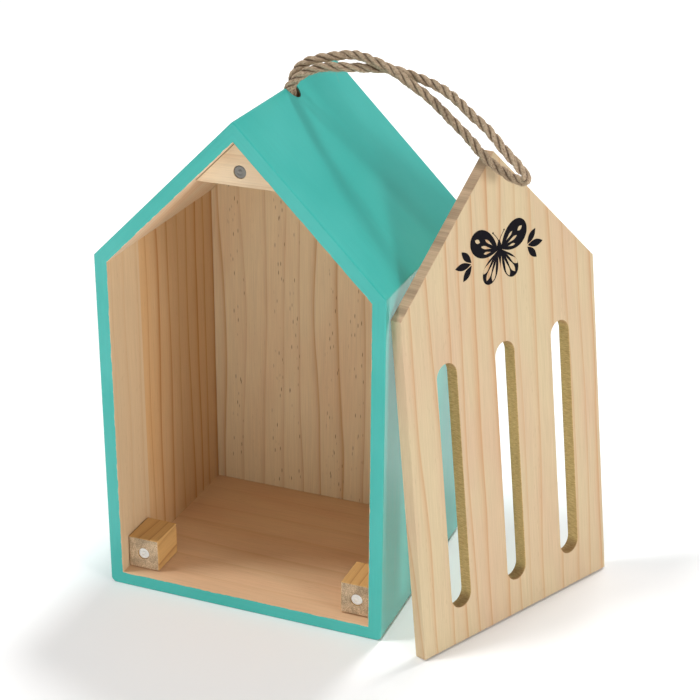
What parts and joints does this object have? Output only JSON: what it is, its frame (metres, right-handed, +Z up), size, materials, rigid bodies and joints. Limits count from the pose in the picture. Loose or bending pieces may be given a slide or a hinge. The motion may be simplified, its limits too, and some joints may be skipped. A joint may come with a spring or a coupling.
{
  "type": "butterfly house",
  "caption": "House-shaped wooden butterfly house, open at the front, with a slotted front panel held by magnets and a rope loop at the ridge.",
  "frame": {"origin": "middle of the house's base, on the surface it stands on", "axes": "+Z up, -Y towards the open front, +X towards the wall that the panel leans on"},
  "size_m": [0.2352, 0.1311, 0.2769],
  "materials": {
    "teal_paint": "satin paint on pine, bare inside",
    "pine": "bare sanded pine",
    "panel_pine": "bare sanded pine with a black print",
    "magnet": "nickel-plated magnet",
    "steel": "bright steel",
    "jute": "three-strand twisted jute rope"
  },
  "bodies": {
    "house": {"left_wall": "teal_paint", "right_wall": "teal_paint", "left_roof_board": "teal_paint", "right_roof_board": "teal_paint", "floor_board": "teal_paint", "back_board": "pine", "left_block": "pine", "right_block": "pine", "top_block": "pine", "left_magnet": "magnet", "right_magnet": "magnet", "top_magnet": "magnet", "left_floor_brad_front": "steel", "left_floor_brad_rear": "steel", "left_eave_brad_front": "steel", "left_eave_brad_rear": "steel", "left_back_brad_low": "steel", "left_back_brad_high": "steel", "left_back_brad_roof": "steel", "right_floor_brad_front": "steel", "right_floor_brad_rear": "steel", "right_eave_brad_front": "steel", "right_eave_brad_rear": "steel", "right_back_brad_low": "steel", "right_back_brad_high": "steel", "right_back_brad_roof": "steel", "ridge_brad_front": "steel", "ridge_brad_rear": "steel", "rope_run_front": "jute", "rope_run_rear": "jute", "rope_knot": "jute"},
    "front_panel": {"front_panel": "panel_pine", "panel_disc_left": "steel", "panel_disc_right": "steel", "panel_disc_top": "steel"},
    "hanging_loop": {"rope_loop": "jute"}
  },
  "joints": [
    {"name": "front_panel_slide", "type": "slide", "parent": "house", "child": "front_panel", "axis": [0.4462, 0.8949, 0], "range_m": [0, 0.14]},
    {"name": "hanging_loop_swing", "type": "hinge", "parent": "house", "child": "hanging_loop", "pos_m": [0, 0.004, 0.257], "axis": [0, 1, 0], "range_deg": [-110, 0]}
  ]
}
